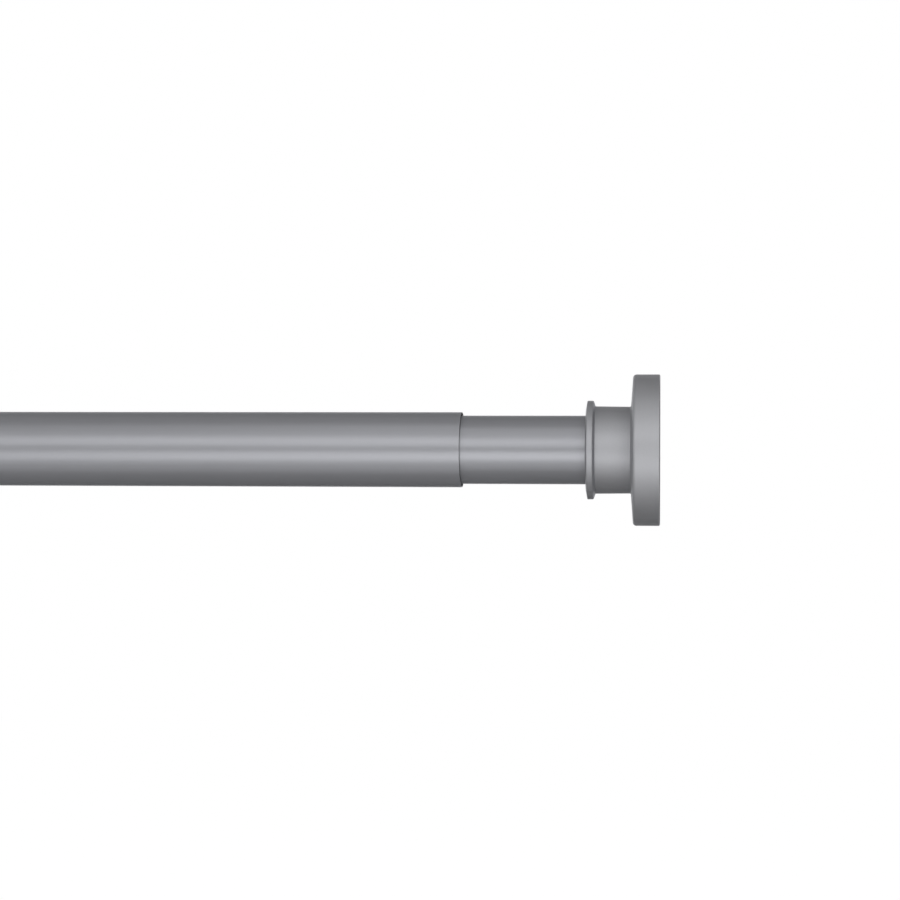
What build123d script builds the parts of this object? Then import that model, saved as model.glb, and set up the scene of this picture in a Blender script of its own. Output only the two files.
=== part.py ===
# An extendable shower curtain rod: two telescoping tubes between two screw-on wall flanges.
# The rod lies along X. The left wall is the plane X = 0, the right wall is at rod_length, and Z is up.
# All sizes are in millimetres.
import os

from build123d import *

# The outer tube, with the left end of the rod.
outer_tube_diameter = 22.0
outer_tube_wall = 0.6
outer_tube_length = 716.0
tube_edge_break = 0.12

# The black bush in the outer tube's mouth, which guides the inner tube.
bush_length = 40.0
bush_wall = 0.32
bush_running_clearance = 0.06
bush_tube_fit = 0.02
bush_head_depth = 0.45
bush_head_rim = 0.03

# The inner tube, as far drawn out as the rod is stored.
inner_tube_wall = 0.8
inner_tube_setback = 210.0
bare_inner_length = 36.3

# The end caps, which grip the tube ends inside and out and fit the flange's socket.
cap_hub_gap = 0.3
cap_base_thickness = 1.5
cap_sleeve_wall = 0.45
cap_running_clearance = 0.15
cap_mouth_recess = 0.35
cap_tube_fit = 0.03
cap_spigot_wall = 1.3
cap_spigot_length = 9.0
cap_slit_width = 1.2
cap_slit_count = 4
cap_edge_chamfer = 0.5

# The wall plate, screwed to the wall through its hub. The flange snaps over its two hooks.
plate_thickness = 1.6
plate_edge_chamfer = 0.4
plate_back_recess = 0.5
plate_back_rim = 3.5
plate_back_pad = 1.5
screw_hole_diameter = 5.5
screw_head_step = 1.25
screw_web_height = 4.1
hub_wall = 0.75
hub_height = 8.5
hub_edge_chamfer = 0.25
hook_thickness = 0.9
hook_barb = 0.6
hook_width = 3.4
hook_setback = 1.1
hook_barb_height = 1.5
hook_tip_land = 0.8

# The wall flange: a flat round rosette, a neck and a collar, moulded in one piece over the plate.
rosette_diameter = 44.0
rosette_rim_width = 7.8
rosette_crown = 0.65
rosette_front_radius = 0.95
rosette_back_chamfer = 0.3
rosette_shell = 1.8
rosette_plate_clearance = 0.2
rosette_rib_count = 8
rosette_rib_thickness = 1.2
flange_reach = 21.45
neck_wall = 0.8
neck_flare = 0.12
neck_root_radius = 0.4
collar_rise = 1.75
collar_land = 1.75
collar_back_slope = 0.55
collar_front_slope = 0.4
collar_edge_break = 0.2
socket_draft = 0.18
socket_mouth_chamfer = 0.25
socket_floor_thickness = 1.2
socket_floor_gap = 0.2
socket_hub_clearance = 0.45
slot_floor_rim = 0.5
slot_hook_gap = 1.1
slot_side_clearance = 0.3
hook_latch_gap = 0.1

# The twist lock on the inner end of the inner tube.
lock_edge_chamfer = 0.5
plug_tube_fit = 0.03
plug_body_length = 18.0
plug_shoulder_length = 3.0
plug_running_clearance = 0.2
plug_flute_count = 4
plug_flute_radius = 1.4
spindle_diameter = 6.0
spindle_grip = 13.0
spindle_fit = 0.02
spindle_running_clearance = 0.1
spindle_tip_length = 3.0
expander_length = 24.0
expander_plug_gap = 0.3
expander_collar_length = 6.0
expander_mouth_wall = 2.75
expander_running_clearance = 0.25
expander_slot_width = 2.0
expander_slot_count = 4
expander_slot_web = 1.0
grip_groove_count = 3
grip_groove_pitch = 4.0
grip_groove_depth = 0.35
drag_ring_width = 3.0
drag_ring_thickness = 1.2
drag_ring_setback = 1.5
drag_ring_edge_chamfer = 0.3
drag_ring_clearance = 0.05
drag_ring_tube_clearance = 0.1
cone_slope = 0.125
cone_gap = 0.3
cone_nut_length = 14.0
cone_nut_overhang = 5.0
cone_key_clearance = 0.15
cone_key_reach = 1.2
stop_width = 2.5
stop_thickness = 1.2
stop_gap = 0.3

# Radii, each worked out from the piece inside or outside it.
outer_radius = outer_tube_diameter / 2
outer_bore = outer_radius - outer_tube_wall
bush_liner_radius = outer_bore - bush_tube_fit
bush_bore = bush_liner_radius - bush_wall
inner_radius = bush_bore - bush_running_clearance
inner_bore = inner_radius - inner_tube_wall
cap_radius = outer_radius + cap_tube_fit + cap_sleeve_wall
socket_floor_radius = cap_radius + cap_running_clearance
socket_radius = socket_floor_radius + socket_draft
neck_radius = socket_radius + neck_wall
collar_radius = neck_radius + collar_rise
rosette_radius = rosette_diameter / 2
cavity_radius = rosette_radius - rosette_shell
plate_radius = cavity_radius - rosette_plate_clearance
screw_radius = screw_hole_diameter / 2
screw_head_radius = screw_radius + screw_head_step
hub_radius = screw_head_radius + hub_wall
slot_outer_radius = socket_floor_radius - slot_floor_rim
hook_outer_radius = slot_outer_radius - slot_hook_gap
hook_inner_radius = hook_outer_radius - hook_thickness
slot_inner_radius = hook_inner_radius - hook_latch_gap
spindle_radius = spindle_diameter / 2
journal_radius = spindle_radius + spindle_running_clearance
expander_radius = outer_bore - expander_running_clearance

# Heights above each wall, and places along the rod.
floor_underside = plate_thickness + socket_floor_gap
socket_floor = floor_underside + socket_floor_thickness
cap_face = hub_height + cap_hub_gap
tube_seat = cap_face + cap_base_thickness
outer_tube_mouth = tube_seat + outer_tube_length
rod_length = outer_tube_mouth + bare_inner_length + flange_reach
inner_tube_inner_end = tube_seat + inner_tube_setback
inner_tube_outer_end = rod_length - tube_seat
shoulder_face = inner_tube_inner_end - plug_shoulder_length
expander_end = shoulder_face - expander_plug_gap
expander_mouth = expander_end - expander_length
cone_nut_mouth = expander_mouth - cone_nut_overhang
stop_place = cone_nut_mouth - stop_gap - stop_thickness
spindle_tip = stop_place - spindle_tip_length

# Each end's plane holds the rod's axis. Its own X runs away from that end's wall.
rod_axis = Axis.X
left_end = Plane(origin=(0, 0, 0), x_dir=(1, 0, 0), z_dir=(0, 0, 1))
right_end = Plane(origin=(rod_length, 0, 0), x_dir=(-1, 0, 0), z_dir=(0, 0, 1))


def across(end, height):
    """The plane square to the rod at a height above that end's wall, facing away from the wall."""
    return Plane(origin=end.origin + end.x_dir * height, x_dir=end.y_dir, z_dir=end.x_dir)


def corner_at(section, height, radius):
    """The section's corner at a height above the wall and a radius."""
    return section.vertices().sort_by_distance((height, radius))[0]


def crown_height(radius):
    """How far the rosette's conical front stands off the wall at a radius."""
    return rosette_rim_width + rosette_crown * (rosette_radius - radius) / (rosette_radius - neck_radius)


def cone_radius(place):
    """The radius of the expander's tapered bore at a place along the rod."""
    return expander_radius - expander_mouth_wall - cone_slope * (place - expander_mouth)


# The wall plate has a hub that takes the screw, and two springy hooks that latch over the flange's floor.
def wall_plate(end):
    with BuildPart() as plate:
        with BuildSketch(end):
            with BuildLine():
                Polyline(
                    (0, screw_radius),
                    (0, hub_radius + plate_back_pad),
                    (plate_back_recess, hub_radius + plate_back_pad),
                    (plate_back_recess, plate_radius - plate_back_rim),
                    (0, plate_radius - plate_back_rim),
                    (0, plate_radius),
                    (plate_thickness - plate_edge_chamfer, plate_radius),
                    (plate_thickness, plate_radius - plate_edge_chamfer),
                    (plate_thickness, hub_radius),
                    (hub_height - hub_edge_chamfer, hub_radius),
                    (hub_height, hub_radius - hub_edge_chamfer),
                    (hub_height, screw_head_radius),
                    (screw_web_height, screw_head_radius),
                    (screw_web_height, screw_radius),
                    close=True,
                )
            make_face()
        revolve(axis=rod_axis)
        # One hook stands on each side of the hub, with its barb turned inwards over the floor's edge.
        hook_root = plate_thickness / 2
        hook_latch = socket_floor + hook_latch_gap
        hook_tip = hub_height - hook_setback
        with BuildSketch(end):
            with BuildLine():
                Polyline(
                    (hook_root, hook_outer_radius),
                    (hook_root, hook_inner_radius),
                    (hook_latch, hook_inner_radius),
                    (hook_latch, hook_inner_radius - hook_barb),
                    (hook_latch + hook_barb_height, hook_inner_radius - hook_barb),
                    (hook_tip, hook_outer_radius - hook_tip_land),
                    (hook_tip, hook_outer_radius),
                    close=True,
                )
            make_face()
            mirror(about=Plane.XZ)
        extrude(amount=hook_width / 2, both=True)
    return plate


# The flange is a shell: the rosette is hollow behind and stiffened by ribs, and the neck is a socket with a floor.
def wall_flange(end):
    neck_end = flange_reach - collar_front_slope - collar_land - collar_back_slope
    hub_hole_radius = hub_radius + socket_hub_clearance
    with BuildPart() as flange:
        with BuildSketch(end) as section:
            with BuildLine():
                Polyline(
                    (0, cavity_radius),
                    (0, rosette_radius - rosette_back_chamfer),
                    (rosette_back_chamfer, rosette_radius),
                    (rosette_rim_width, rosette_radius),
                    (crown_height(neck_radius), neck_radius),
                    (neck_end, neck_radius + neck_flare),
                    (neck_end + collar_back_slope, collar_radius),
                    (neck_end + collar_back_slope + collar_land, collar_radius),
                    (flange_reach, socket_radius + socket_mouth_chamfer),
                    (flange_reach - socket_mouth_chamfer, socket_radius),
                    (socket_floor, socket_floor_radius),
                    (socket_floor, hub_hole_radius),
                    (floor_underside, hub_hole_radius),
                    (floor_underside, neck_radius),
                    (crown_height(neck_radius) - rosette_shell, neck_radius),
                    (crown_height(cavity_radius) - rosette_shell, cavity_radius),
                    close=True,
                )
            make_face()
            fillet(corner_at(section, rosette_rim_width, rosette_radius), rosette_front_radius)
            fillet(corner_at(section, crown_height(neck_radius), neck_radius), neck_root_radius)
            chamfer(corner_at(section, neck_end + collar_back_slope, collar_radius), collar_edge_break)
            chamfer(corner_at(section, flange_reach - collar_front_slope, collar_radius), collar_edge_break)
        revolve(axis=rod_axis)
        # Radial ribs join the socket to the rim across the hollow behind the rosette.
        rib_inner = (socket_floor_radius + neck_radius) / 2
        rib_outer = cavity_radius + rosette_shell / 4
        for rib in range(rosette_rib_count):
            turn = 360 * (rib + 0.5) / rosette_rib_count
            with BuildSketch(end.rotated((turn, 0, 0))):
                with BuildLine():
                    Polyline(
                        (floor_underside, rib_inner),
                        (floor_underside, rib_outer),
                        (crown_height(rib_outer) - rosette_shell / 2, rib_outer),
                        (crown_height(neck_radius) - rosette_shell / 2, rib_inner),
                        close=True,
                    )
                make_face()
            extrude(amount=rosette_rib_thickness / 2, both=True)
        # Two slots in the socket's floor let the wall plate's hooks through.
        with BuildSketch(across(end, floor_underside)):
            with PolarLocations((slot_inner_radius + slot_outer_radius) / 2, 2):
                Rectangle(slot_outer_radius - slot_inner_radius, hook_width + 2 * slot_side_clearance)
        extrude(amount=socket_floor_thickness, mode=Mode.SUBTRACT)
    return flange


# An end cap is a double-walled cup. Its sleeve turns in the flange's socket and its slit spigot grips the tube.
def end_cap(end, tube_radius, tube_bore):
    sleeve_end = flange_reach - cap_mouth_recess
    spigot_radius = tube_bore - cap_tube_fit
    spigot_bore = spigot_radius - cap_spigot_wall
    spigot_end = tube_seat + cap_spigot_length
    with BuildPart() as cap:
        with BuildSketch(end):
            with BuildLine():
                Polyline(
                    (cap_face, 0),
                    (cap_face, cap_radius - cap_edge_chamfer),
                    (cap_face + cap_edge_chamfer, cap_radius),
                    (sleeve_end, cap_radius),
                    (sleeve_end, tube_radius + cap_tube_fit),
                    (tube_seat, tube_radius + cap_tube_fit),
                    (tube_seat, spigot_radius),
                    (spigot_end - cap_edge_chamfer, spigot_radius),
                    (spigot_end, spigot_radius - cap_edge_chamfer),
                    (spigot_end, spigot_bore),
                    (tube_seat, spigot_bore),
                    (tube_seat, 0),
                    close=True,
                )
            make_face()
        revolve(axis=rod_axis)
        with BuildSketch(across(end, tube_seat)):
            with PolarLocations((spigot_radius + spigot_bore) / 2, cap_slit_count, start_angle=45):
                Rectangle(2 * cap_spigot_wall, cap_slit_width)
        extrude(amount=cap_spigot_length, mode=Mode.SUBTRACT)
    return cap


left_wall_plate = wall_plate(left_end)
left_flange = wall_flange(left_end)
left_end_cap = end_cap(left_end, outer_radius, outer_bore)

# The outer tube's mouth is countersunk for the bush's head.
bush_head_radius = outer_radius - tube_edge_break - bush_head_rim
with BuildPart() as outer_tube:
    with BuildSketch(Plane.XY):
        with BuildLine():
            Polyline(
                (tube_seat, outer_bore),
                (tube_seat, outer_radius - tube_edge_break),
                (tube_seat + tube_edge_break, outer_radius),
                (outer_tube_mouth - tube_edge_break, outer_radius),
                (outer_tube_mouth, outer_radius - tube_edge_break),
                (outer_tube_mouth, bush_head_radius),
                (outer_tube_mouth - bush_head_depth, outer_bore),
                close=True,
            )
        make_face()
    revolve(axis=rod_axis)

# The mouth bush is a thin liner with a countersunk head, flush with the outer tube's end.
with BuildPart() as mouth_bush:
    with BuildSketch(Plane.XY):
        with BuildLine():
            Polyline(
                (outer_tube_mouth - bush_length, bush_bore),
                (outer_tube_mouth - bush_length, bush_liner_radius),
                (outer_tube_mouth - bush_head_depth, bush_liner_radius),
                (outer_tube_mouth, bush_head_radius - bush_tube_fit),
                (outer_tube_mouth, bush_bore),
                close=True,
            )
        make_face()
    revolve(axis=rod_axis)

# The inner tube is plain, with the outer edges of both ends broken.
with BuildPart() as inner_tube:
    with BuildSketch(Plane.XY):
        with BuildLine():
            Polyline(
                (inner_tube_inner_end, inner_bore),
                (inner_tube_inner_end, inner_radius - tube_edge_break),
                (inner_tube_inner_end + tube_edge_break, inner_radius),
                (inner_tube_outer_end - tube_edge_break, inner_radius),
                (inner_tube_outer_end, inner_radius - tube_edge_break),
                (inner_tube_outer_end, inner_bore),
                close=True,
            )
        make_face()
    revolve(axis=rod_axis)

# The lock plug is pressed into the inner tube. Its shoulder guides that end and stops the rod from pulling apart.
plug_radius = inner_bore - plug_tube_fit
plug_end = inner_tube_inner_end + plug_body_length
shoulder_radius = outer_bore - plug_running_clearance
spindle_seat = shoulder_face + spindle_grip
with BuildPart() as lock_plug:
    with BuildSketch(Plane.XY):
        with BuildLine():
            Polyline(
                (shoulder_face, spindle_radius + spindle_fit),
                (shoulder_face, shoulder_radius - lock_edge_chamfer),
                (shoulder_face + lock_edge_chamfer, shoulder_radius),
                (inner_tube_inner_end, shoulder_radius),
                (inner_tube_inner_end, plug_radius),
                (plug_end - lock_edge_chamfer, plug_radius),
                (plug_end, plug_radius - lock_edge_chamfer),
                (plug_end, 0),
                (spindle_seat, 0),
                (spindle_seat, spindle_radius + spindle_fit),
                close=True,
            )
        make_face()
    revolve(axis=rod_axis)
    with BuildSketch(Plane.YZ.offset(inner_tube_inner_end)):
        with PolarLocations(plug_radius, plug_flute_count):
            Circle(plug_flute_radius)
    extrude(amount=plug_body_length, mode=Mode.SUBTRACT)

# The steel spindle is fixed in the plug, so it turns with the inner tube and works the lock.
with BuildPart() as lock_spindle:
    with BuildSketch(Plane.YZ.offset(spindle_tip)):
        Circle(spindle_radius)
    extrude(amount=spindle_seat - spindle_tip)
    chamfer(lock_spindle.edges().filter_by(GeomType.CIRCLE), lock_edge_chamfer)

# The expander is a split sleeve with a tapered bore and a solid collar. It slides in the outer tube.
collar_face = expander_end - expander_collar_length
ring_radius = outer_bore - drag_ring_tube_clearance - drag_ring_thickness / 2
ring_place = expander_end - drag_ring_setback - drag_ring_width / 2
groove_floor_radius = ring_radius - drag_ring_thickness / 2 - drag_ring_clearance
with BuildPart() as expander:
    with BuildSketch(Plane.XY):
        with BuildLine():
            Polyline(
                (expander_mouth, cone_radius(expander_mouth)),
                (expander_mouth, expander_radius - lock_edge_chamfer),
                (expander_mouth + lock_edge_chamfer, expander_radius),
                (expander_end, expander_radius),
                (expander_end, journal_radius),
                (collar_face, journal_radius),
                (collar_face, cone_radius(collar_face)),
                close=True,
            )
        make_face()
        # The groove for the drag ring.
        with Locations((ring_place, groove_floor_radius)):
            Rectangle(
                drag_ring_width + 2 * drag_ring_clearance,
                drag_ring_thickness,
                align=(Align.CENTER, Align.MIN),
                mode=Mode.SUBTRACT,
            )
        # Shallow V-shaped grooves that help the split end to grip the tube.
        for groove in range(grip_groove_count):
            with Locations((expander_mouth + (groove + 1) * grip_groove_pitch, expander_radius)):
                RegularPolygon(grip_groove_depth, 4, mode=Mode.SUBTRACT)
    revolve(axis=rod_axis)
    # Lengthwise slots split the tapered end into springy fingers.
    slot_length = expander_length - expander_collar_length - expander_slot_web
    with BuildSketch(Plane.YZ.offset(expander_mouth)):
        with PolarLocations(expander_radius, expander_slot_count):
            Rectangle(2 * (expander_radius - journal_radius), expander_slot_width)
    extrude(amount=slot_length, mode=Mode.SUBTRACT)

# The drag ring is a rubber band in that groove. It holds the expander still while the inner tube turns.
with BuildPart() as drag_ring:
    with BuildSketch(Plane.XY) as band:
        with Locations((ring_place, ring_radius)):
            Rectangle(drag_ring_width, drag_ring_thickness)
        chamfer(band.vertices(), drag_ring_edge_chamfer)
    revolve(axis=rod_axis)

# The cone nut runs on the spindle's thread. Its keys ride in the expander's slots, so it can't turn.
nut_end = cone_nut_mouth + cone_nut_length
with BuildPart() as cone_nut:
    with BuildSketch(Plane.XY):
        with BuildLine():
            Polyline(
                (cone_nut_mouth, journal_radius),
                (cone_nut_mouth, cone_radius(cone_nut_mouth) - cone_gap),
                (nut_end, cone_radius(nut_end) - cone_gap),
                (nut_end, journal_radius),
                close=True,
            )
        make_face()
    revolve(axis=rod_axis)
    key_inner = (journal_radius + cone_radius(nut_end) - cone_gap) / 2
    key_outer = cone_radius(expander_mouth) + cone_key_reach
    with BuildSketch(Plane.YZ.offset(cone_nut_mouth)):
        with PolarLocations((key_inner + key_outer) / 2, expander_slot_count):
            Rectangle(key_outer - key_inner, expander_slot_width - 2 * cone_key_clearance)
    extrude(amount=cone_nut_length)

# The stop is pressed on the spindle's tip and keeps the cone nut from running off.
with BuildPart() as spindle_stop:
    with BuildSketch(Plane.YZ.offset(stop_place)):
        Circle(spindle_radius + stop_width)
        Circle(spindle_radius + spindle_fit, mode=Mode.SUBTRACT)
    extrude(amount=stop_thickness)

right_end_cap = end_cap(right_end, inner_radius, inner_bore)
right_flange = wall_flange(right_end)
right_wall_plate = wall_plate(right_end)

pieces = {
    "left_wall_plate": left_wall_plate,
    "left_flange": left_flange,
    "left_end_cap": left_end_cap,
    "outer_tube": outer_tube,
    "mouth_bush": mouth_bush,
    "inner_tube": inner_tube,
    "lock_plug": lock_plug,
    "lock_spindle": lock_spindle,
    "expander": expander,
    "drag_ring": drag_ring,
    "cone_nut": cone_nut,
    "spindle_stop": spindle_stop,
    "right_end_cap": right_end_cap,
    "right_flange": right_flange,
    "right_wall_plate": right_wall_plate,
}
os.makedirs("parts", exist_ok=True)
for name, piece in pieces.items():
    piece.part.label = name
    export_step(piece.part, f"parts/{name}.step")
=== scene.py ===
# An extendable shower curtain rod, dressed for its picture: two telescoping aluminium tubes between two
# moulded wall flanges, with the twist lock that hides inside the outer tube. Meshes are in metres, in the
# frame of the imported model: the left wall is the plane X = 0, the rod lies along +X, and Z is up.
import math

import bpy
from mathutils import Matrix, Vector


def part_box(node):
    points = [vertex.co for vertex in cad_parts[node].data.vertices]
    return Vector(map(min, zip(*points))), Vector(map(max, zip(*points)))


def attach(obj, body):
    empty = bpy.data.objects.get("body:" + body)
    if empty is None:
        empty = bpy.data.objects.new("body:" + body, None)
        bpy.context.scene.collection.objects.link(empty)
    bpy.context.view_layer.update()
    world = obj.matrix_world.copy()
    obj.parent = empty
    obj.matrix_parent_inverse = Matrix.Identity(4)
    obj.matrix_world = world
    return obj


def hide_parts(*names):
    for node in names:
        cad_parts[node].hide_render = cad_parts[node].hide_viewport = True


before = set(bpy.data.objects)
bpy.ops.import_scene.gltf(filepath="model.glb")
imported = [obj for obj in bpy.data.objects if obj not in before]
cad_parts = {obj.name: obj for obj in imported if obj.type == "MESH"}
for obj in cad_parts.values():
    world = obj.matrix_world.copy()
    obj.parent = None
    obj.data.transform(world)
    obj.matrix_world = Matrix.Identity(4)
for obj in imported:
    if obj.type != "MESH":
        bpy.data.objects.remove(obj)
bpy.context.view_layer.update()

# Wall plates. Each is one moulding of grey plastic, screwed to the wall through the hub in its middle.
# Two springy hooks stand beside the hub, and the flange is pushed over them until their barbs catch.
# Sizes are written in millimetres, and a place on an end's piece is its height above that end's wall.
mm = 0.001
rod_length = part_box("right_wall_plate")[1].x


class Socket:
    """One output of a node. Plain arithmetic on it adds the nodes that do the sum."""

    def __init__(self, nodes, node, output):
        self.nodes, self.node, self.output = nodes, node, output

    def other(self, name):
        """Another output of the same node."""
        return Socket(self.nodes, self.node, find(self.node.outputs, name))

    def sum(self, operation, *values):
        inputs = {number: value for number, value in enumerate(values)}
        return self.nodes.add("ShaderNodeMath", {"operation": operation}, inputs)

    def __add__(self, value):
        return self.sum("ADD", self, value)

    __radd__ = __add__

    def __sub__(self, value):
        return self.sum("SUBTRACT", self, value)

    def __rsub__(self, value):
        return self.sum("SUBTRACT", value, self)

    def __mul__(self, value):
        return self.sum("MULTIPLY", self, value)

    __rmul__ = __mul__

    def __truediv__(self, value):
        return self.sum("DIVIDE", self, value)

    def __rtruediv__(self, value):
        return self.sum("DIVIDE", value, self)

    def __mod__(self, value):
        return self.sum("FLOORED_MODULO", self, value)

    def __gt__(self, value):
        return self.sum("GREATER_THAN", self, value)

    def floor(self):
        return self.sum("FLOOR", self)

    def sine(self):
        return self.sum("SINE", self)

    def cosine(self):
        return self.sum("COSINE", self)

    def most(self, value):
        return self.sum("MAXIMUM", self, value)

    def least(self, value):
        return self.sum("MINIMUM", self, value)

    def wave(self):
        """A triangle wave of the socket, from 0 up to 1 and back once in each whole number."""
        return self.sum("PINGPONG", self * 2, 1.0)

    def between(self, low, high, at_low, at_high):
        """The range from low to high, spread over the range from at_low to at_high and kept in it."""
        inputs = {"Value": self, "From Min": low, "From Max": high, "To Min": at_low, "To Max": at_high}
        return self.nodes.add("ShaderNodeMapRange", {}, inputs)

    def ramp(self, *stops):
        """The socket read off a curve of (place, level) stops."""
        return self.nodes.add("ShaderNodeValToRGB", {"stops": stops}, {"Fac": self})


def find(sockets, name):
    """A socket by its number, its identifier or its name."""
    if isinstance(name, int):
        return sockets[name]
    named = [socket for socket in sockets if socket.identifier == name]
    return named[0] if named else sockets[name]


class Nodes:
    """A node tree being built, for a shape or for a finish."""

    def __init__(self, tree):
        self.tree = tree

    def add(self, kind, settings={}, inputs={}, output=None):
        """Adds a node: its settings are set first, then its sockets get their values or links."""
        node = self.tree.nodes.new(kind)
        for name, value in settings.items():
            if name == "stops":
                self.set_stops(node.color_ramp.elements, value)
            else:
                setattr(node, name, value)
        for name, value in inputs.items():
            for one in value if isinstance(value, list) else [value]:
                socket = find(node.inputs, name)
                if isinstance(one, Socket):
                    self.tree.links.new(one.output, socket)
                else:
                    socket.default_value = one
        if output is None:
            shown = [socket for socket in node.outputs if socket.enabled]
            return Socket(self, node, shown[0] if shown else None)
        return Socket(self, node, find(node.outputs, output))

    def set_stops(self, elements, stops):
        """Gives a colour ramp its (place, level) stops."""
        while len(elements) < len(stops):
            elements.new(1.0)
        for element, (place, level) in zip(elements, stops):
            element.position = place
            element.color = (level, level, level, 1)


class Shape(Nodes):
    """A tree of geometry nodes with named inputs. It ends with a smooth mesh in one finish."""

    weld_distance = 0.0005 * mm
    usual_sharp_angle = math.radians(33)

    def __init__(self, name, inputs):
        super().__init__(bpy.data.node_groups.new(name, "GeometryNodeTree"))
        self.tree.interface.new_socket("Geometry", in_out="OUTPUT", socket_type="NodeSocketGeometry")
        inputs = {"Geometry": "Geometry", **inputs, "Sharp Angle": "Float", "Finish": "Material"}
        for label, kind in inputs.items():
            self.tree.interface.new_socket(label, in_out="INPUT", socket_type="NodeSocket" + kind)
        self.given = self.add("NodeGroupInput")

    def input(self, label):
        return self.given.other(label)

    def end(self, mesh):
        """Welds the mesh, smooths it between its sharp edges and gives it the finish."""
        welding = {"Geometry": mesh, "Distance": self.weld_distance}
        welded = self.add("GeometryNodeMergeByDistance", {}, welding)
        smooth = self.add("GeometryNodeSetShadeSmooth", {"domain": "FACE"}, {"Geometry": welded})
        angle = self.add("GeometryNodeInputMeshEdgeAngle", output="Unsigned Angle")
        edged = self.add(
            "GeometryNodeSetShadeSmooth",
            {"domain": "EDGE"},
            {"Geometry": smooth, "Selection": angle > self.input("Sharp Angle"), "Shade Smooth": False},
        )
        real = self.add("GeometryNodeRealizeInstances", {}, {"Geometry": edged})
        finish = {"Geometry": real, "Material": self.input("Finish")}
        finished = self.add("GeometryNodeSetMaterial", {}, finish)
        self.add("NodeGroupOutput", {}, {"Geometry": finished})


def shaped(piece, shape, **inputs):
    """Runs a shape's tree on a piece and keeps the result as its plain mesh."""
    inputs.setdefault("sharp_angle", shape.usual_sharp_angle)
    modifier = piece.modifiers.new("shape", "NODES")
    modifier.node_group = shape.tree
    for item in shape.tree.interface.items_tree:
        if item.in_out == "INPUT" and item.name != "Geometry":
            modifier[item.identifier] = inputs[item.name.lower().replace(" ", "_")]
    keep_mesh(piece)


def keep_mesh(piece):
    """Makes what a piece's modifier shows its own mesh."""
    mesh = bpy.data.meshes.new_from_object(piece.evaluated_get(bpy.context.evaluated_depsgraph_get()))
    piece.modifiers.clear()
    piece.data = mesh


def piece_of(name, points, faces=()):
    """A new piece from plain mesh lists."""
    mesh = bpy.data.meshes.new(name)
    mesh.from_pydata(points, (), faces)
    piece = bpy.data.objects.new(name, mesh)
    bpy.context.scene.collection.objects.link(piece)
    return piece


# A turned shape: each point of a closed outline of (place, radius) is carried round the rod's axis.
turned = Shape("turned_round_the_rod", {"Segments": "Int"})
outline_size = turned.add(
    "GeometryNodeAttributeDomainSize", {}, {"Geometry": turned.input("Geometry")}, "Point Count"
)
turned_grid = turned.add(
    "GeometryNodeMeshGrid",
    {},
    {"Vertices X": turned.input("Segments") + 1, "Vertices Y": outline_size + 1},
    "Mesh",
)
grid_index = turned.add("GeometryNodeInputIndex")
outline_point = turned.add(
    "GeometryNodeSampleIndex",
    {"data_type": "FLOAT_VECTOR", "domain": "POINT"},
    {
        "Geometry": turned.input("Geometry"),
        "Value": turned.add("GeometryNodeInputPosition"),
        "Index": (grid_index % (outline_size + 1)) % outline_size,
    },
)
outline_place = turned.add("ShaderNodeSeparateXYZ", {}, {"Vector": outline_point}, "X")
outline_radius = outline_place.other("Y")
turn = (grid_index / (outline_size + 1)).floor() * (2 * math.pi) / turned.input("Segments")
turned_place = turned.add(
    "ShaderNodeCombineXYZ",
    {},
    {"X": outline_place, "Y": outline_radius * turn.cosine(), "Z": outline_radius * turn.sine()},
)
turned.end(turned.add("GeometryNodeSetPosition", {}, {"Geometry": turned_grid, "Position": turned_place}))


def softened(corners, steps=4):
    """An outline in millimetres, with the rounding of each corner (place, radius, rounding) made."""
    largest_share, least_reach = 0.42, 0.004
    largest_guard, guard_share, least_guard = 0.05, 0.2, 0.01
    points = []
    for number, (place, radius, rounding) in enumerate(corners):
        here = Vector((place, radius))
        back = Vector(corners[number - 1][:2]) - here
        ahead = Vector(corners[(number + 1) % len(corners)][:2]) - here
        half = back.angle(ahead) / 2
        reach = min(rounding / math.tan(half), largest_share * back.length, largest_share * ahead.length)
        if reach < least_reach:
            points.append(here)
            continue
        # A point just past each end of the rounding keeps the flat beside it flat when it is shaded.
        guard = min(largest_guard, guard_share * reach + least_guard)
        back.normalize()
        ahead.normalize()
        middle = here + (back + ahead).normalized() * reach / math.cos(half)
        first, last = here + back * reach - middle, here + ahead * reach - middle
        sweep = first.angle_signed(last)
        points.append(here + back * (reach + guard))
        for step in range(steps + 1):
            points.append(middle + Matrix.Rotation(-sweep * step / steps, 2) @ first)
        points.append(here + ahead * (reach + guard))
    return points


def outline_area(outline):
    """Twice the area of a closed outline. It is above 0 where the outline runs anticlockwise."""
    return sum(a[0] * b[1] - b[0] * a[1] for a, b in zip(outline, outline[1:] + outline[:1]))


def turned_piece(name, corners, finish, end="left", segments=160, steps=4):
    """A piece turned round the rod from its outline, whose places are heights above its end's wall."""
    outline = softened(corners, steps)
    if end == "right":
        outline = [Vector((rod_length / mm - point.x, point.y)) for point in outline]
    if outline_area(outline) > 0:
        outline.reverse()
    piece = piece_of(name, [(point.x * mm, point.y * mm, 0) for point in outline])
    shaped(piece, turned, segments=segments, finish=finish)
    return piece


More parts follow.
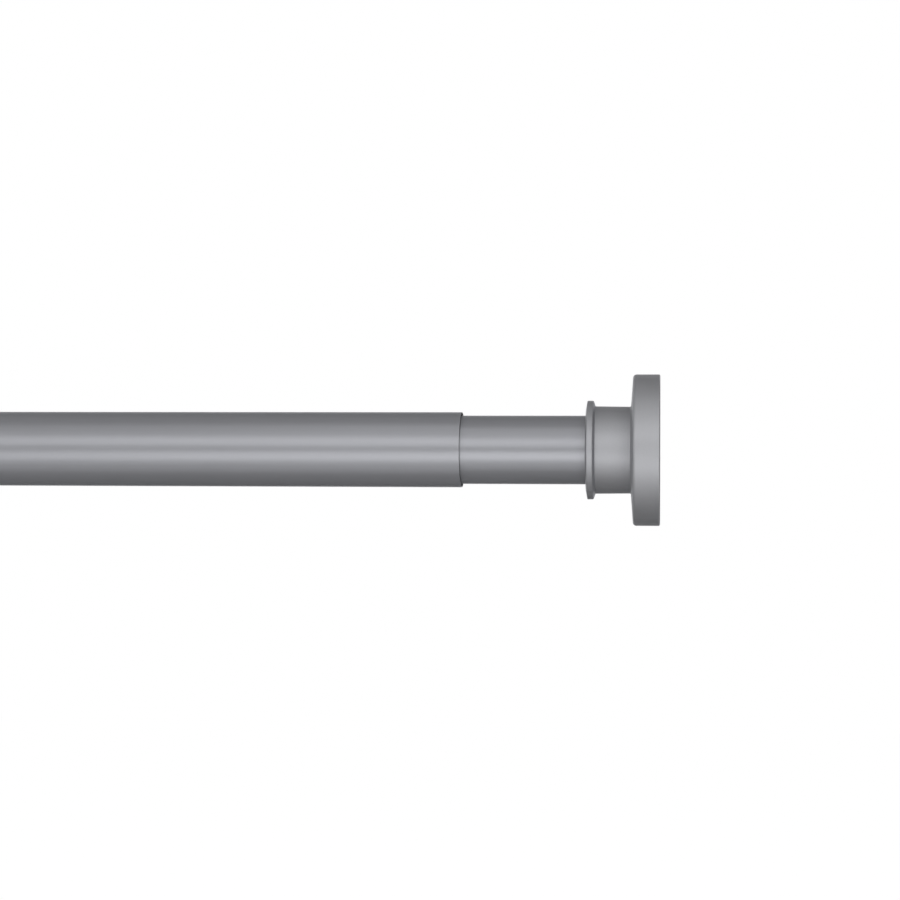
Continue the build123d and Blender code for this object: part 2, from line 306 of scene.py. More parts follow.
def repeated_round(name, cut):
    """A shape that copies a tool evenly round the rod and cuts it from the piece, or joins it on."""
    shape = Shape(name, {"Tool": "Object", "Count": "Int", "First Turn": "Float"})
    given_tool = {"Object": shape.input("Tool")}
    tool = shape.add("GeometryNodeObjectInfo", {"transform_space": "RELATIVE"}, given_tool, "Geometry")
    places = shape.add("GeometryNodePoints", {}, {"Count": shape.input("Count")})
    number = shape.add("GeometryNodeInputIndex")
    spin = number * (2 * math.pi) / shape.input("Count") + shape.input("First Turn")
    turns = shape.add("ShaderNodeCombineXYZ", {}, {"X": spin})
    turns = shape.add("FunctionNodeEulerToRotation", {}, {0: turns})
    copying = {"Points": places, "Instance": tool, "Rotation": turns}
    copies = shape.add("GeometryNodeInstanceOnPoints", {}, copying)
    copies = shape.add("GeometryNodeRealizeInstances", {}, {"Geometry": copies})
    if cut:
        inputs = {"Mesh 1": shape.input("Geometry"), "Mesh 2": copies}
    else:
        inputs = {"Mesh 2": [shape.input("Geometry"), copies]}
    settings = {"operation": "DIFFERENCE" if cut else "UNION", "solver": "EXACT"}
    shape.end(shape.add("GeometryNodeMeshBoolean", settings, inputs, "Mesh"))
    return shape


joined_round = repeated_round("joined_round_the_rod", False)


def bar_between(name, first_end, last_end, turned_over=False):
    """A closed bar between two ends, each a ring of points. Turned over, its faces point the other way."""
    count = len(first_end)
    faces = [[n, (n + 1) % count, (n + 1) % count + count, n + count] for n in range(count)]
    faces += [list(range(count))[::-1], list(range(count, 2 * count))]
    if turned_over:
        faces = [face[::-1] for face in faces]
    return piece_of(name, first_end + last_end, faces)


def prism(name, outline, width, end="left", bevel=0.0):
    """A short bar across the rod, from its side outline of (place, radius). A bevel softens its edges."""
    places = [(rod_length / mm - place if end == "right" else place, radius) for place, radius in outline]
    rings = [[(x * mm, y * mm, side * width / 2 * mm) for x, y in places] for side in (-1, 1)]
    tool = bar_between(name, *rings, turned_over=outline_area(places) < 0)
    if bevel:
        softener = tool.modifiers.new("edges", "BEVEL")
        softener.width, softener.segments, softener.limit_method = bevel * mm, 2, "ANGLE"
        keep_mesh(tool)
    return tool


def with_tool(piece, shape, tool, count, first_turn, finish):
    """Cuts or joins a tool round a piece, and puts the tool away."""
    shaped(piece, shape, tool=tool, count=count, first_turn=math.radians(first_turn), finish=finish)
    bpy.data.objects.remove(tool)


class Finish(Nodes):
    """A material: the tree behind one surface, from the piece's own coordinates to its shader."""

    def __init__(self, name):
        self.material = bpy.data.materials.new(name)
        self.material.use_nodes = True
        super().__init__(self.material.node_tree)
        self.tree.nodes.clear()
        self.place = self.add("ShaderNodeTexCoord", output="Object")

    def noise(self, stretch, detail=2.0, roughness=0.5, shift=(0, 0, 0)):
        """Smooth noise from 0 to 1. The stretch is its waves in a metre, for all axes or for each."""
        if not isinstance(stretch, tuple):
            stretch = (stretch, stretch, stretch)
        seen = self.add("ShaderNodeMapping", {}, {"Vector": self.place, "Scale": stretch, "Location": shift})
        inputs = {"Vector": seen, "Scale": 1.0, "Detail": detail, "Roughness": roughness}
        return self.add("ShaderNodeTexNoise", {}, inputs, "Fac")

    def grains(self, size):
        """A random level from 0 to 1 for each small grain, of a size in millimetres."""
        inputs = {"Vector": self.place, "Scale": 1 / (size * mm)}
        cells = self.add("ShaderNodeTexVoronoi", {}, inputs, "Color")
        return self.add("ShaderNodeSeparateXYZ", {}, {"Vector": cells}, "X")

    def tint(self, mask, first, second):
        """A colour between two, by a mask."""
        inputs = {"Factor_Float": mask, "A_Color": (*first, 1), "B_Color": (*second, 1)}
        return self.add("ShaderNodeMix", {"data_type": "RGBA"}, inputs, "Result_Color")

    def end(self, height, depth, **inputs):
        """Ends the tree in its shader. A height from 0 to 1 and its depth in millimetres give the relief."""
        sockets = {name.replace("_", " "): value for name, value in inputs.items()}
        bump = {"Height": height, "Distance": depth * mm, "Strength": 1.0}
        sockets["Normal"] = self.add("ShaderNodeBump", {}, bump)
        shader = self.add("ShaderNodeBsdfPrincipled", {}, sockets)
        self.add("ShaderNodeOutputMaterial", {}, {"Surface": shader})
        return self.material


plate_finish = Finish("grey_moulded_plastic")
plate_grain = plate_finish.noise(2600, 3.0)
plate_cloud = plate_finish.noise(90, 3.0)
plate_plastic = plate_finish.end(
    height=plate_grain * 0.7 + plate_cloud * 0.3,
    depth=0.012,
    Base_Color=plate_finish.tint(plate_cloud, (0.225, 0.225, 0.235), (0.275, 0.275, 0.285)),
    Roughness=0.46 + 0.12 * plate_cloud + 0.06 * plate_grain,
)

plate_radius = 20.0
plate_thickness = 1.6
plate_chamfer = 0.4
back_rim = 3.5
back_relief = 0.5
hub_radius = 4.75
hub_height = 8.5
hub_chamfer = 0.25
hub_foot = 1.5
screw_radius = 2.75
screw_head_radius = 4.0
screw_head_seat = 4.1
plate_outline = [
    (0, screw_radius, 0.06),
    (0, hub_radius + hub_foot, 0.1),
    (back_relief, hub_radius + hub_foot, 0.1),
    (back_relief, plate_radius - back_rim, 0.1),
    (0, plate_radius - back_rim, 0.1),
    (0, plate_radius, 0.1),
    (plate_thickness - plate_chamfer, plate_radius, 0.1),
    (plate_thickness, plate_radius - plate_chamfer, 0.1),
    (plate_thickness, hub_radius, 0.25),
    (hub_height - hub_chamfer, hub_radius, 0.08),
    (hub_height, hub_radius - hub_chamfer, 0.08),
    (hub_height, screw_head_radius, 0.08),
    (screw_head_seat, screw_head_radius, 0.15),
    (screw_head_seat, screw_radius, 0.08),
]
hook_count = 2
hook_back = 10.03
hook_front = 9.13
hook_root = plate_thickness / 2
hook_height = 7.4
hook_width = 3.4
hook_thinning = 0.1
barb_tip = hook_front - 0.6
barb_start = 3.1
barb_end = 4.6
edge_bevel = 0.12
hook_outline = [
    (hook_root, hook_back),
    (hook_root, hook_front),
    (barb_start, hook_front),
    (barb_start, barb_tip),
    (barb_end, barb_tip),
    (hook_height, hook_front + hook_thinning),
    (hook_height, hook_back),
]
for end in ("left", "right"):
    wall_plate = turned_piece(end + "_plate", plate_outline, plate_plastic, end)
    hook = prism("hook", hook_outline, hook_width, end, edge_bevel)
    with_tool(wall_plate, joined_round, hook, hook_count, 0, plate_plastic)
    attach(wall_plate, end + "_wall")
    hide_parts(end + "_wall_plate")

# Wall flanges. Each is a moulding in silver-grey plastic with a satin skin: a flat round rosette, a neck and
# a collar. Its neck is a socket for the tube's end, and its hollow back has eight ribs and hides the plate.
flange_finish = Finish("silver_moulded_plastic")
flake = flange_finish.grains(0.16)
skin_grain = flange_finish.noise(3000, 2.0)
skin_cloud = flange_finish.noise(70, 3.0)
silver_mask = flake * 0.35 + skin_cloud * 0.65
silver_plastic = flange_finish.end(
    height=skin_grain,
    depth=0.004,
    Base_Color=flange_finish.tint(silver_mask, (0.468, 0.472, 0.492), (0.543, 0.548, 0.572)),
    Metallic=0.75,
    Roughness=0.46 + 0.05 * skin_cloud + 0.03 * flake,
    Specular_Tint=(0.4, 0.4, 0.41, 1),
)

rosette_radius = 22.0
rim_chamfer = 0.3
rim_height = 7.8
crown_height = 8.45
neck_radius = 12.61
neck_flare = 0.12
neck_end = 18.75
collar_radius = 14.36
collar_start = 19.3
collar_end = 21.05
flange_reach = 21.45
mouth_radius = 12.06
mouth_chamfer = 0.25
socket_radius = 11.63
socket_back = 1.8
socket_floor = 3.0
hub_hole_radius = 5.2
cavity_radius = 20.2
cavity_depth = 6.05
cavity_slope = 0.6
flange_outline = [
    (0, cavity_radius, 0.1),
    (0, rosette_radius - rim_chamfer, 0.06),
    (rim_chamfer, rosette_radius, 0.08),
    (rim_height, rosette_radius, 0.95),
    (crown_height, neck_radius, 0.4),
    (neck_end, neck_radius + neck_flare, 0.12),
    (collar_start, collar_radius, 0.45),
    (collar_end, collar_radius, 0.22),
    (flange_reach, mouth_radius, 0.06),
    (flange_reach - mouth_chamfer, mouth_radius - mouth_chamfer, 0.06),
    (socket_floor, socket_radius, 0.15),
    (socket_floor, hub_hole_radius, 0.08),
    (socket_back, hub_hole_radius, 0.08),
    (socket_back, neck_radius, 0.1),
    (cavity_depth + cavity_slope, neck_radius, 0.2),
    (cavity_depth, cavity_radius, 0.2),
]
cut_round = repeated_round("cut_round_the_rod", True)


def bar_outline(start, end, foot, tip):
    """The side outline of a plain bar: its places from start to end, and its radii from foot to tip."""
    return [(start, foot), (start, tip), (end, tip), (end, foot)]


# The ribs run a little way into the walls that they join. Each slot is cut right through the socket's floor,
# with room behind the hook for it to bend.
rib_count = 8
rib_width = 1.2
rib_outline = bar_outline(socket_back, end=6.8, foot=12.1, tip=20.6)
slot_width = 4.0
slot_overrun = 0.3
slot_front, slot_back = hook_front - 0.1, hook_back + 1.1
slot_outline = bar_outline(socket_back - slot_overrun, socket_floor + slot_overrun, slot_front, slot_back)
for end in ("left", "right"):
    flange = turned_piece(end + "_rosette", flange_outline, silver_plastic, end, segments=192, steps=5)
    rib = prism("rib", rib_outline, rib_width, end)
    with_tool(flange, joined_round, rib, rib_count, 180 / rib_count, silver_plastic)
    slot = prism("slot", slot_outline, slot_width, end)
    with_tool(flange, cut_round, slot, hook_count, 0, silver_plastic)
    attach(flange, end + "_wall")
    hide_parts(end + "_flange")

# End caps. Each is a thin double-walled cup of dark grey plastic, pushed on to a tube's end so that its slit
# spigot grips the bore. The cup turns in the flange's socket and keeps metal off plastic.
cap_finish = Finish("dark_grey_plastic")
cap_grain = cap_finish.noise(2200, 3.0)
cap_cloud = cap_finish.noise(110, 2.0)
cap_plastic = cap_finish.end(
    height=cap_grain,
    depth=0.008,
    Base_Color=cap_finish.tint(cap_cloud, (0.165, 0.165, 0.17), (0.21, 0.21, 0.215)),
    Roughness=0.42 + 0.12 * cap_cloud,
)

outer_radius, outer_bore = 11.0, 10.4
inner_radius, inner_bore = 10.0, 9.2
cap_radius = 11.48
cap_back = 8.8
cap_end = 21.1
cap_chamfer = 0.5
tube_seat = 10.3
tube_clearance = 0.03
spigot_wall = 1.3
spigot_end = 19.3
slit_count = 4
slit_width = 1.2
slit_outline = bar_outline(tube_seat, end=20.0, foot=5.0, tip=10.7)
for end, body, tube_radius, tube_bore in (
    ("left", "outer", outer_radius, outer_bore),
    ("right", "inner", inner_radius, inner_bore),
):
    spigot_radius = tube_bore - tube_clearance
    spigot_bore = spigot_radius - spigot_wall
    cap_outline = [
        (cap_back, 0, 0),
        (cap_back, cap_radius - cap_chamfer, 0.1),
        (cap_back + cap_chamfer, cap_radius, 0.1),
        (cap_end, cap_radius, 0.1),
        (cap_end, tube_radius + tube_clearance, 0.05),
        (tube_seat, tube_radius + tube_clearance, 0.05),
        (tube_seat, spigot_radius, 0.1),
        (spigot_end - cap_chamfer, spigot_radius, 0.1),
        (spigot_end, spigot_radius - cap_chamfer, 0.1),
        (spigot_end, spigot_bore, 0.15),
        (tube_seat, spigot_bore, 0.3),
        (tube_seat, 0, 0),
    ]
    cap = turned_piece(end + "_cap", cap_outline, cap_plastic, end, segments=128)
    slit = prism("slit", slit_outline, slit_width, end)
    with_tool(cap, cut_round, slit, slit_count, 180 / slit_count, cap_plastic)
    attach(cap, body)
    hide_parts(end + "_end_cap")

# The outer tube: drawn aluminium with a satin anodised skin, whose fine lines run the length of the tube.
# Its left end sits in the left cap, and its right end is the mouth that the inner tube slides out of.


def satin_aluminium(name, shift):
    """Satin aluminium with fine draw lines along the tube, wider faint streaks and a little clouding."""
    finish = Finish(name)
    lines = finish.noise((3.0, 2400, 2400), 3.0, 0.6, shift)
    streaks = finish.noise((1.2, 260, 260), 2.0, 0.5, shift)
    cloud = finish.noise(45, 3.0, 0.5, shift)
    rub = finish.noise((14, 700, 700), 2.0, 0.5, shift).ramp((0.62, 0.0), (0.72, 1.0))
    metal_mask = lines * 0.45 + streaks * 0.4 + cloud * 0.15
    return finish.end(
        height=lines * 0.8 + streaks * 0.2,
        depth=0.0035,
        Base_Color=finish.tint(metal_mask, (0.395, 0.4, 0.425), (0.47, 0.476, 0.507)),
        Metallic=0.65,
        Roughness=0.32 + 0.05 * lines + 0.04 * cloud - 0.03 * rub,
        Specular_Tint=(0.4, 0.4, 0.41, 1),
    )


outer_aluminium = satin_aluminium("satin_aluminium_outer", (0.0, 0.0, 0.0))
outer_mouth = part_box("outer_tube")[1].x / mm
mouth_countersink = 0.45
tube_edge = 0.12
bore_edge = 0.03
outer_outline = [
    (tube_seat, outer_bore, bore_edge),
    (tube_seat, outer_radius, tube_edge),
    (outer_mouth, outer_radius, 0.05),
    (outer_mouth, outer_bore + mouth_countersink, 0),
    (outer_mouth - mouth_countersink, outer_bore, bore_edge),
]
outer_tube = turned_piece("satin_outer_tube", outer_outline, outer_aluminium, segments=256)
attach(outer_tube, "outer")
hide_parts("outer_tube")

# The mouth bush: a thin liner of black plastic in the outer tube's mouth. Its countersunk head closes the
# step between the two tubes, and the inner tube slides and turns in it.
bush_finish = Finish("black_plastic")
bush_grain = bush_finish.noise(2500, 2.0)
bush_rub = bush_finish.noise((60, 900, 900), 2.0)
bush_plastic = bush_finish.end(
    height=bush_grain,
    depth=0.006,
    Base_Color=bush_finish.tint(bush_rub, (0.013, 0.013, 0.014), (0.024, 0.024, 0.026)),
    Roughness=0.7 + 0.15 * bush_rub,
    Specular_IOR_Level=0.08,
)

bush_length = 40.0
bush_bore = 10.06
bush_radius = 10.38
bush_outline = [
    (outer_mouth - bush_length, bush_bore, 0.03),
    (outer_mouth - bush_length, bush_radius, 0.05),
    (outer_mouth - mouth_countersink, bush_radius, 0),
    (outer_mouth, bush_radius + mouth_countersink, 0.03),
    (outer_mouth, bush_bore, 0.05),
]
mouth_liner = turned_piece("mouth_liner", bush_outline, bush_plastic, segments=256)
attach(mouth_liner, "outer")
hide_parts("mouth_bush")

# The inner tube: the same drawn aluminium one size down. Most of it hides in the outer tube, and it carries
# the lock on its hidden end and a cap on the other.
inner_aluminium = satin_aluminium("satin_aluminium_inner", (3.1, 1.7, 4.3))
inner_start, inner_stop = (corner.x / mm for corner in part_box("inner_tube"))
inner_outline = [
    (inner_start, inner_bore, 0.05),
    (inner_start, inner_radius, tube_edge),
    (inner_stop, inner_radius, tube_edge),
    (inner_stop, inner_bore, 0.05),
]
inner_tube = turned_piece("satin_inner_tube", inner_outline, inner_aluminium, segments=256)
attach(inner_tube, "inner")
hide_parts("inner_tube")

# The lock plug: a black moulding pressed into the inner tube's hidden end. Its shoulder guides that end in
# the outer tube, and four flutes let the press fit give.
plug_finish = Finish("black_lock_plastic")
plug_grain = plug_finish.noise(2200, 3.0)
plug_cloud = plug_finish.noise(120, 2.0)
plug_plastic = plug_finish.end(
    height=plug_grain,
    depth=0.008,
    Base_Color=plug_finish.tint(plug_cloud, (0.036, 0.036, 0.04), (0.058, 0.058, 0.063)),
    Roughness=0.4 + 0.14 * plug_cloud,
)

spindle_radius = 3.0
spindle_hole_radius = spindle_radius + 0.02
shoulder_length = 3.0
shoulder_face = inner_start - shoulder_length
shoulder_radius = 10.2
plug_radius = inner_bore - tube_clearance
plug_length = 18.0
plug_end = inner_start + plug_length
plug_chamfer = 0.5
spindle_grip = 13.0
spindle_seat = shoulder_face + spindle_grip
plug_outline = [
    (shoulder_face, spindle_hole_radius, 0.1),
    (shoulder_face, shoulder_radius - plug_chamfer, 0.1),
    (shoulder_face + plug_chamfer, shoulder_radius, 0.1),
    (inner_start, shoulder_radius, 0.05),
    (inner_start, plug_radius, 0),
    (plug_end - plug_chamfer, plug_radius, 0.15),
    (plug_end, plug_radius - plug_chamfer, 0.15),
    (plug_end, 0, 0),
    (spindle_seat, 0, 0),
    (spindle_seat, spindle_hole_radius, 0.1),
]
fluted_plug = turned_piece("fluted_plug", plug_outline, plug_plastic, segments=128)
# The flutes are cut by a round bar that lies along the plug's side.
flute_count = 4
flute_radius = 1.4
flute_corners = 24
flute_overrun = 1.0
flute_turns = [2 * math.pi * corner / flute_corners for corner in range(flute_corners)]
flute_rings = [
    [
        (place * mm, (plug_radius + math.cos(turn) * flute_radius) * mm, math.sin(turn) * flute_radius * mm)
        for turn in flute_turns
    ]
    for place in (inner_start, plug_end + flute_overrun)
]
flute = bar_between("flute", *flute_rings)
with_tool(fluted_plug, cut_round, flute, flute_count, 0, plug_plastic)
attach(fluted_plug, "inner")
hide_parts("lock_plug")

# The spindle: zinc-plated steel, fixed in the plug, with a right-hand thread of 2 mm lead under the cone nut.
# A pressed collar on its tip keeps the nut from running off.
zinc_finish = Finish("bright_zinc")
zinc_lines = zinc_finish.noise((600, 2600, 2600), 3.0)
zinc_cloud = zinc_finish.noise(260, 3.0)
zinc_steel = zinc_finish.end(
    height=zinc_lines,
    depth=0.004,
    Base_Color=zinc_finish.tint(zinc_cloud, (0.50, 0.505, 0.52), (0.60, 0.60, 0.605)),
    Metallic=1.0,
    Roughness=0.24 + 0.14 * zinc_cloud,
)

spindle_start, spindle_end = (corner.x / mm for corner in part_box("lock_spindle"))
spindle_end_radius = 2.5
thread_lead = 2.0
thread_depth = 0.55
thread_run_out = 0.75 * thread_lead
bare_shank = 7.0
groove_floor, groove_edge = 0.3, 0.7
on_the_axis = 0.0001
rings_along, points_round = 400, 48
threaded = Shape("threaded_bar", {"Start": "Float", "End": "Float", "Radius": "Float", "Thread End": "Float"})
bar_grid = threaded.add(
    "GeometryNodeMeshGrid", {}, {"Vertices X": points_round + 1, "Vertices Y": rings_along + 1}, "Mesh"
)
bar_index = threaded.add("GeometryNodeInputIndex")
bar_share = (bar_index % (rings_along + 1)) / rings_along
bar_turn = (bar_index / (rings_along + 1)).floor() / points_round
bar_place = threaded.input("Start") + (threaded.input("End") - threaded.input("Start")) * bar_share
thread_wave = ((bar_place / (thread_lead * mm) - bar_turn) % 1.0).wave()
groove_here = thread_wave.between(groove_floor, groove_edge, 1.0, 0.0)
thread_stop = threaded.input("Thread End")
thread_here = bar_place.between(thread_stop, thread_stop + thread_run_out * mm, 1.0, 0.0)
# The ends are chamfered, and close on the axis.
nearest_end = (bar_place - threaded.input("Start")).least(threaded.input("End") - bar_place)
full_radius = threaded.input("Radius") - groove_here * thread_here * (thread_depth * mm)
bar_radius = full_radius.least(nearest_end + spindle_end_radius * mm) * (nearest_end > on_the_axis * mm)
bar_angle = bar_turn * (2 * math.pi)
bar_point = threaded.add(
    "ShaderNodeCombineXYZ",
    {},
    {"X": bar_place, "Y": bar_radius * bar_angle.cosine(), "Z": bar_radius * bar_angle.sine()},
)
threaded.end(threaded.add("GeometryNodeSetPosition", {}, {"Geometry": bar_grid, "Position": bar_point}))
spindle = piece_of("threaded_spindle", [(0, 0, 0)])
shaped(
    spindle,
    threaded,
    start=spindle_start * mm,
    end=spindle_end * mm,
    radius=spindle_radius * mm,
    thread_end=(shoulder_face - bare_shank) * mm,
    sharp_angle=math.radians(40),
    finish=zinc_steel,
)
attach(spindle, "inner")
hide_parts("lock_spindle")

tip_collar_start, tip_collar_end = (corner.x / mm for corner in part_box("spindle_stop"))
tip_collar_radius = 5.5
tip_collar_outline = [
    (tip_collar_start, spindle_hole_radius, 0.06),
    (tip_collar_start, tip_collar_radius, 0.25),
    (tip_collar_end, tip_collar_radius, 0.12),
    (tip_collar_end, spindle_hole_radius, 0.06),
]
tip_collar = turned_piece("tip_collar", tip_collar_outline, zinc_steel, segments=96)
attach(tip_collar, "inner")
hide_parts("spindle_stop")

# The expander: a split sleeve of natural plastic with a tapered bore. The cone nut spreads its four fingers
# against the outer tube, and three V-shaped grooves help them to bite.
expander_finish = Finish("natural_plastic")
expander_grain = expander_finish.noise(1800, 3.0)
expander_cloud = expander_finish.noise(130, 3.0)
expander_plastic = expander_finish.end(
    height=expander_grain,
    depth=0.008,
    Base_Color=expander_finish.tint(expander_cloud, (0.56, 0.545, 0.49), (0.68, 0.665, 0.62)),
    Roughness=0.38 + 0.14 * expander_cloud,
    Subsurface_Weight=0.15,
    Subsurface_Scale=0.5 * mm,
)

expander_start, expander_end = (corner.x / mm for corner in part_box("expander"))
expander_radius = 10.15
expander_chamfer = 0.5
finger_wall = 2.75
bore_slope = 0.125
neck_bore_radius = 3.1
neck_length = 6.0
taper_end = expander_end - neck_length
groove_count = 3
groove_spacing = 4.0
groove_depth = 0.35
ring_setback = 3.0
ring_place = expander_end - ring_setback
ring_width = 3.0
ring_seat_width = ring_width + 0.1
ring_seat_radius = 9.05


def taper(place):
    """The radius of the expander's tapered bore at a place along the rod."""
    return expander_radius - finger_wall - bore_slope * (place - expander_start)


expander_outline = [
    (expander_start, taper(expander_start), 0.1),
    (expander_start, expander_radius - expander_chamfer, 0.1),
    (expander_start + expander_chamfer, expander_radius, 0.1),
]
for number in range(1, groove_count + 1):
    groove = expander_start + groove_spacing * number
    expander_outline += [
        (groove - groove_depth, expander_radius, 0.04),
        (groove, expander_radius - groove_depth, 0.06),
        (groove + groove_depth, expander_radius, 0.04),
    ]
expander_outline += [
    (ring_place - ring_seat_width / 2, expander_radius, 0.06),
    (ring_place - ring_seat_width / 2, ring_seat_radius, 0.08),
    (ring_place + ring_seat_width / 2, ring_seat_radius, 0.08),
    (ring_place + ring_seat_width / 2, expander_radius, 0.06),
    (expander_end, expander_radius, 0.15),
    (expander_end, neck_bore_radius, 0.1),
    (taper_end, neck_bore_radius, 0.1),
    (taper_end, taper(taper_end), 0.1),
]
split_sleeve = turned_piece("split_sleeve", expander_outline, expander_plastic, segments=128, steps=3)
finger_count = 4
split_width = 2.0
split_start, split_end = expander_start - 1.0, expander_start + 17.0
split_outline = bar_outline(split_start, split_end, foot=neck_bore_radius, tip=11.0)
split = prism("split", split_outline, split_width)
with_tool(split_sleeve, cut_round, split, finger_count, 0, expander_plastic)
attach(split_sleeve, "expander")
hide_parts("expander")

# The drag ring: a band of black rubber in the expander's groove. It rubs on the outer tube and holds the
# expander still while the inner tube is twisted.
rubber_finish = Finish("black_rubber")
rubber_grain = rubber_finish.noise(3200, 3.0)
rubber_bloom = rubber_finish.noise(200, 3.0)
ring_rubber = rubber_finish.end(
    height=rubber_grain,
    depth=0.015,
    Base_Color=rubber_finish.tint(rubber_bloom, (0.02, 0.02, 0.02), (0.042, 0.042, 0.041)),
    Roughness=0.68 + 0.16 * rubber_bloom,
)

ring_bore, ring_radius = ring_seat_radius + 0.05, 10.3
ring_rounding = 0.3
ring_outline = [
    (ring_place - ring_width / 2, ring_bore, ring_rounding),
    (ring_place - ring_width / 2, ring_radius, ring_rounding),
    (ring_place + ring_width / 2, ring_radius, ring_rounding),
    (ring_place + ring_width / 2, ring_bore, ring_rounding),
]
rubber_ring = turned_piece("rubber_ring", ring_outline, ring_rubber, segments=128)
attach(rubber_ring, "expander")
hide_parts("drag_ring")

# The cone nut: a dark moulded cone that runs on the spindle's thread. Its four keys ride in the expander's
# splits, so it slides without turning and wedges the fingers outwards.
nut_finish = Finish("dark_nut_plastic")
nut_grain = nut_finish.noise(2000, 3.0)
nut_cloud = nut_finish.noise(150, 2.0)
nut_plastic = nut_finish.end(
    height=nut_grain,
    depth=0.008,
    Base_Color=nut_finish.tint(nut_cloud, (0.075, 0.075, 0.085), (0.115, 0.115, 0.125)),
    Roughness=0.36 + 0.14 * nut_cloud,
)

nut_start, nut_end = (corner.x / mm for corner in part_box("cone_nut"))
nut_clearance = 0.3
nut_bore = spindle_radius + 0.1
nut_outline = [
    (nut_start, nut_bore, 0.1),
    (nut_start, taper(nut_start) - nut_clearance, 0.2),
    (nut_end, taper(nut_end) - nut_clearance, 0.2),
    (nut_end, nut_bore, 0.1),
]
keyed_nut = turned_piece("keyed_nut", nut_outline, nut_plastic, segments=96)
key_width = 1.7
key_outline = bar_outline(nut_start, nut_end, foot=4.1, tip=8.6)
key = prism("key", key_outline, key_width, bevel=edge_bevel)
with_tool(keyed_nut, joined_round, key, finger_count, 0, nut_plastic)
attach(keyed_nut, "cone")
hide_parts("cone_nut")

# The studio, in metres: long soft lamps in front of the rod, narrower ones behind it and a faint one above,
# over a pale floor with a pale surround. The closed tunnel is a dim glowing sheet that is seen only in
# reflections: it paints dark reflections on the metal.


class Ground(Nodes):
    """The tree behind a thing that isn't part of the rod."""

    def __init__(self, owner):
        owner.use_nodes = True
        super().__init__(owner.node_tree)
        self.tree.nodes.clear()

    def seen(self):
        """A mask of the rays that see the thing white: those of the camera, in a gloss or through glass."""
        ray = self.add("ShaderNodeLightPath", output="Is Camera Ray")
        return ray.most(ray.other("Is Glossy Ray")).most(ray.other("Is Transmission Ray"))

    def glow(self, kind, strength):
        """An even white glow, from a background or from a surface."""
        return self.add(kind, {}, {"Color": (1, 1, 1, 1), "Strength": strength})


air_level, white_level = 0.06, 1.0
world = bpy.data.worlds.new("pale_surround")
bpy.context.scene.world = world
surround = Ground(world)
air = surround.glow("ShaderNodeBackground", air_level)
white = surround.glow("ShaderNodeBackground", white_level)
sky = surround.add("ShaderNodeMixShader", {}, {0: surround.seen(), 1: air, 2: white})
surround.add("ShaderNodeOutputWorld", {}, {"Surface": sky})

# What the lamps light of the floor and the floor's own glow come to the white of the surround together.
floor_depth = -1.2
floor_reach = 12
floor_colour = (0.9, 0.9, 0.9, 1)
floor_glow = 0.945
rod_middle = rod_length / 2
floor_corners = [
    (rod_middle + x * floor_reach, y * floor_reach, floor_depth)
    for x, y in ((-1, -1), (1, -1), (1, 1), (-1, 1))
]
floor = piece_of("pale_floor", floor_corners, [(0, 1, 2, 3)])
floor_paper = bpy.data.materials.new("pale_floor")
paper = Ground(floor_paper)
matt = paper.add("ShaderNodeBsdfDiffuse", {}, {"Color": floor_colour})
paper_glow = paper.glow("ShaderNodeEmission", paper.seen() * floor_glow)
paper_surface = paper.add("ShaderNodeAddShader", {}, {0: matt, 1: paper_glow})
paper.add("ShaderNodeOutputMaterial", {}, {"Surface": paper_surface})
floor.data.materials.append(floor_paper)

# Painted reflection: the tunnel glows dimly and evenly, and only glossy rays see it, so the metal shows it as
# dark surroundings.
tunnel_radius = 1.12
tunnel_reach = 2.0
tunnel_step = 8
reflection_glow_level = 0.11
tunnel_turns = [math.radians(turn) for turn in range(-180, 181, tunnel_step)]
tunnel_points = [
    (rod_middle + side * tunnel_reach, -tunnel_radius * math.cos(turn), tunnel_radius * math.sin(turn))
    for turn in tunnel_turns
    for side in (-1, 1)
]
tunnel_faces = [(2 * n, 2 * n + 1, 2 * n + 3, 2 * n + 2) for n in range(len(tunnel_turns) - 1)]
tunnel_faces += [tuple(range(side, len(tunnel_points), 2)) for side in (0, 1)]
cloth_tunnel = piece_of("cloth_tunnel", tunnel_points, tunnel_faces)
dark_cloth = bpy.data.materials.new("dark_cloth")
glow_sheet = Ground(dark_cloth)
sheet_glow = glow_sheet.glow("ShaderNodeEmission", reflection_glow_level)
glow_sheet.add("ShaderNodeOutputMaterial", {}, {"Surface": sheet_glow})
cloth_tunnel.data.materials.append(dark_cloth)
cloth_tunnel.visible_camera = False
cloth_tunnel.visible_diffuse = False
cloth_tunnel.visible_shadow = False


def soft_lamp(name, length, width, level, place):
    """A soft lamp, unseen by the camera. Its level is how bright it looks, where 1 is white."""
    light = bpy.data.lights.new(name, "AREA")
    light.shape = "RECTANGLE"
    light.size, light.size_y = length, width
    light.energy = level * math.pi * length * width
    holder = bpy.data.objects.new(name, light)
    bpy.context.scene.collection.objects.link(holder)
    holder.matrix_world = place
    holder.visible_camera = False
    return holder


def strip_lamp(name, turn, spread, level, length=3.0, middle=-0.08, distance=1.0):
    """A long lamp beside the rod. Its turn is its angle up from straight in front, and its spread is the
    angle that it fills as the rod sees it, both in degrees."""
    place = (
        Matrix.Translation((middle, 0, 0))
        @ Matrix.Rotation(math.radians(-turn), 4, "X")
        @ Matrix.Translation((0, -distance, 0))
        @ Matrix.Rotation(math.radians(90), 4, "X")
    )
    soft_lamp(name, length, 2 * distance * math.tan(math.radians(spread / 2)), level, place)


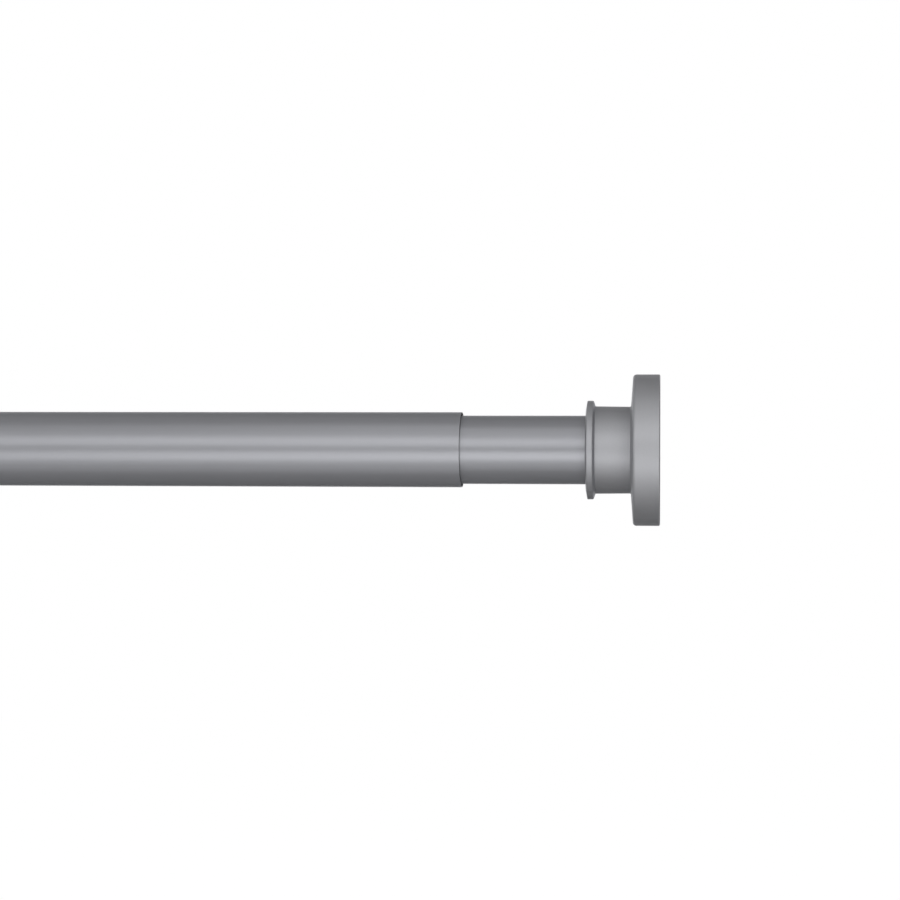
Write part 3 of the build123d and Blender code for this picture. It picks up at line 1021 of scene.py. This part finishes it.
# The keys stand just inside the long lamps in front, and brighten the rod's right end.
key_place = {"length": 1.0, "distance": 0.96}
strip_lamp("upper_lamp", turn=22.5, spread=29, level=0.98)
strip_lamp("lower_lamp", turn=-22.5, spread=29, level=0.99)
strip_lamp("upper_key", turn=22.5, spread=29, level=0.36, middle=0.95, **key_place)
strip_lamp("lower_key", turn=-22.5, spread=29, level=0.56, middle=0.95, **key_place)
strip_lamp("upper_fill", turn=60, spread=42, level=0.36)
strip_lamp("upper_fill_key", turn=60, spread=42, level=0.22, middle=1.0, **key_place)
strip_lamp("lower_fill", turn=-55, spread=34, level=0.27)
strip_lamp("lower_fill_key", turn=-55, spread=34, level=0.15, middle=1.0, **key_place)
strip_lamp("upper_rear", turn=168, spread=16, level=1.7)
strip_lamp("lower_rear", turn=-168, spread=16, level=1.7)
strip_lamp("upper_back", turn=150, spread=16, level=0.8)
strip_lamp("lower_back", turn=-150, spread=16, level=0.05)
strip_lamp("top_lamp", turn=110, spread=40, level=0.2)
# A lamp beyond each end lights what faces the walls.
end_lamp_size = 0.7
end_lamp_level = 1.7
end_lamp_distance = 0.6
for end, place, turn in (("left", -end_lamp_distance, -90), ("right", rod_length + end_lamp_distance, 90)):
    facing_in = Matrix.Translation((place, 0, 0)) @ Matrix.Rotation(math.radians(turn), 4, "Y")
    end_lamp = soft_lamp(end + "_end_lamp", end_lamp_size, end_lamp_size, end_lamp_level, facing_in)
    end_lamp.visible_glossy = False

# The camera stands in front of the rod's right end, turned a little left and looking slightly up. Its long
# lens takes in the rod's last 19 cm.
camera_data = bpy.data.cameras.new("camera")
camera_data.lens = 91.0
camera_data.sensor_width = 36.0
camera = bpy.data.objects.new("camera", camera_data)
bpy.context.scene.collection.objects.link(camera)
camera_place = (0.78437, -0.6634, -0.0186)
camera_turn, camera_tilt, camera_roll = (math.radians(angle) for angle in (5.309, 91.592, 0.28))
camera.matrix_world = (
    Matrix.Translation(camera_place)
    @ Matrix.Rotation(camera_turn, 4, "Z")
    @ Matrix.Rotation(camera_tilt, 4, "X")
    @ Matrix.Rotation(camera_roll, 4, "Z")
)
bpy.context.scene.camera = camera
bpy.context.scene.view_settings.view_transform = "Standard"
